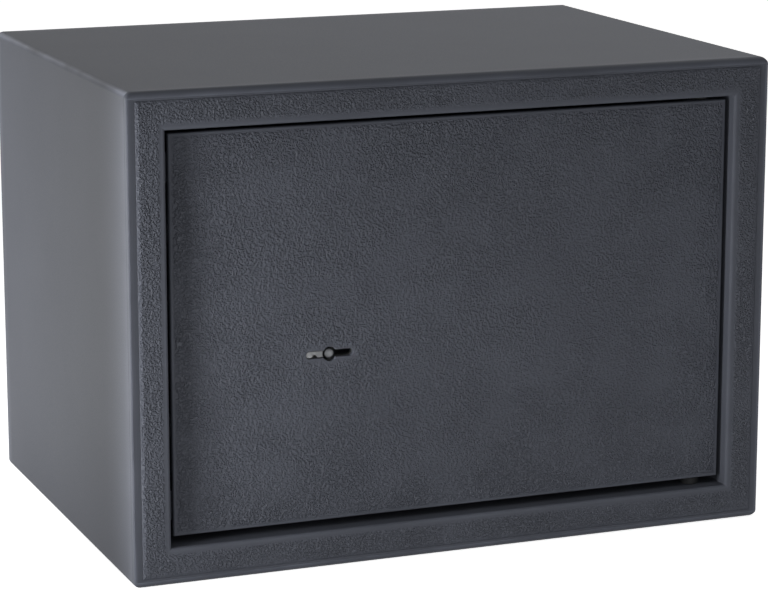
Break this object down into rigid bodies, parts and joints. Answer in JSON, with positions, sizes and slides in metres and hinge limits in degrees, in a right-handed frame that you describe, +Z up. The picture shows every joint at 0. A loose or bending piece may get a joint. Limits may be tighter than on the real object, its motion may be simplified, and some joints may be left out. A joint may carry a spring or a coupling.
{
  "type": "safe deposit box",
  "caption": "Small free-standing steel safe: folded cabinet, recessed flush door on hidden pivots, round locking bolts and a keyed lever lock.",
  "frame": {"origin": "centre of the base, on the surface that the box stands on", "axes": "+X to the right as seen from the front, +Y to the back, +Z up; the door is in the -Y face"},
  "size_m": [0.35, 0.25, 0.25],
  "materials": {
    "smooth_paint": "smooth dark grey powder coat, satin",
    "textured_paint": "dark grey powder coat with a fine leather grain, satin",
    "cover_paint": "smooth satin black paint",
    "zinc_plate": "bright zinc plate",
    "bright_steel": "turned steel",
    "lever_brass": "stamped brass",
    "carpet": "needle-punched carpet",
    "black_steel": "black oxide",
    "black_nylon": "moulded nylon"
  },
  "bodies": {
    "cabinet": {"body_wrap": "smooth_paint", "front_edge": "smooth_paint", "front_frame": "textured_paint", "opening_lips": "textured_paint", "rear_panel": "smooth_paint", "floor_mat": "carpet", "door_stops": "textured_paint", "hinge_pins": "black_steel", "hinge_washers": "black_nylon"},
    "door": {"door_plate": "textured_paint", "hinge_lugs": "textured_paint", "weld_studs": "zinc_plate", "bolt_guide": "zinc_plate", "lock_case": "zinc_plate", "lock_fixing_nuts": "zinc_plate", "lock_cover": "zinc_plate", "lock_cover_screws": "bright_steel", "key_guide": "zinc_plate", "key_pin": "bright_steel", "tongue_guide_post": "bright_steel", "lever_post": "bright_steel", "lever_springs": "bright_steel", "rear_cover": "cover_paint", "rear_cover_nuts": "zinc_plate"},
    "bolt_work": {"locking_bolts": "bright_steel", "bolt_bar": "zinc_plate", "bolt_bar_screws": "bright_steel", "lock_tongue": "bright_steel", "tongue_pin": "bright_steel"},
    "first_lever": {"lever_1": "lever_brass"},
    "second_lever": {"lever_2": "lever_brass"},
    "third_lever": {"lever_3": "lever_brass"},
    "fourth_lever": {"lever_4": "lever_brass"},
    "fifth_lever": {"lever_5": "lever_brass"},
    "sixth_lever": {"lever_6": "lever_brass"}
  },
  "joints": [
    {"name": "door_swing", "type": "hinge", "parent": "cabinet", "child": "door", "pos_m": [0.14017, -0.1125, 0.125], "axis": [0, 0, 1], "range_deg": [0, 100]},
    {"name": "bolt_slide", "type": "slide", "parent": "door", "child": "bolt_work", "axis": [-1, 0, 0], "range_m": [0, 0.012]},
    {"name": "lever_1_lift", "type": "hinge", "parent": "door", "child": "first_lever", "pos_m": [-0.0535, -0.11, 0.1255], "axis": [0, 1, 0], "range_deg": [0, 5], "stiffness_Nm_per_rad": 0.02, "springref_deg": -11.46, "deforming": ["lever_springs"]},
    {"name": "lever_2_lift", "type": "hinge", "parent": "door", "child": "second_lever", "pos_m": [-0.0535, -0.108, 0.1255], "axis": [0, 1, 0], "range_deg": [0, 5], "stiffness_Nm_per_rad": 0.02, "springref_deg": -11.46, "deforming": ["lever_springs"]},
    {"name": "lever_3_lift", "type": "hinge", "parent": "door", "child": "third_lever", "pos_m": [-0.0535, -0.106, 0.1255], "axis": [0, 1, 0], "range_deg": [0, 5], "stiffness_Nm_per_rad": 0.02, "springref_deg": -11.46, "deforming": ["lever_springs"]},
    {"name": "lever_4_lift", "type": "hinge", "parent": "door", "child": "fourth_lever", "pos_m": [-0.0535, -0.104, 0.1255], "axis": [0, 1, 0], "range_deg": [0, 5], "stiffness_Nm_per_rad": 0.02, "springref_deg": -11.46, "deforming": ["lever_springs"]},
    {"name": "lever_5_lift", "type": "hinge", "parent": "door", "child": "fifth_lever", "pos_m": [-0.0535, -0.103, 0.1255], "axis": [0, 1, 0], "range_deg": [0, 5], "stiffness_Nm_per_rad": 0.02, "springref_deg": -11.46, "deforming": ["lever_springs"]},
    {"name": "lever_6_lift", "type": "hinge", "parent": "door", "child": "sixth_lever", "pos_m": [-0.0535, -0.101, 0.1255], "axis": [0, 1, 0], "range_deg": [0, 5], "stiffness_Nm_per_rad": 0.02, "springref_deg": -11.46, "deforming": ["lever_springs"]}
  ]
}
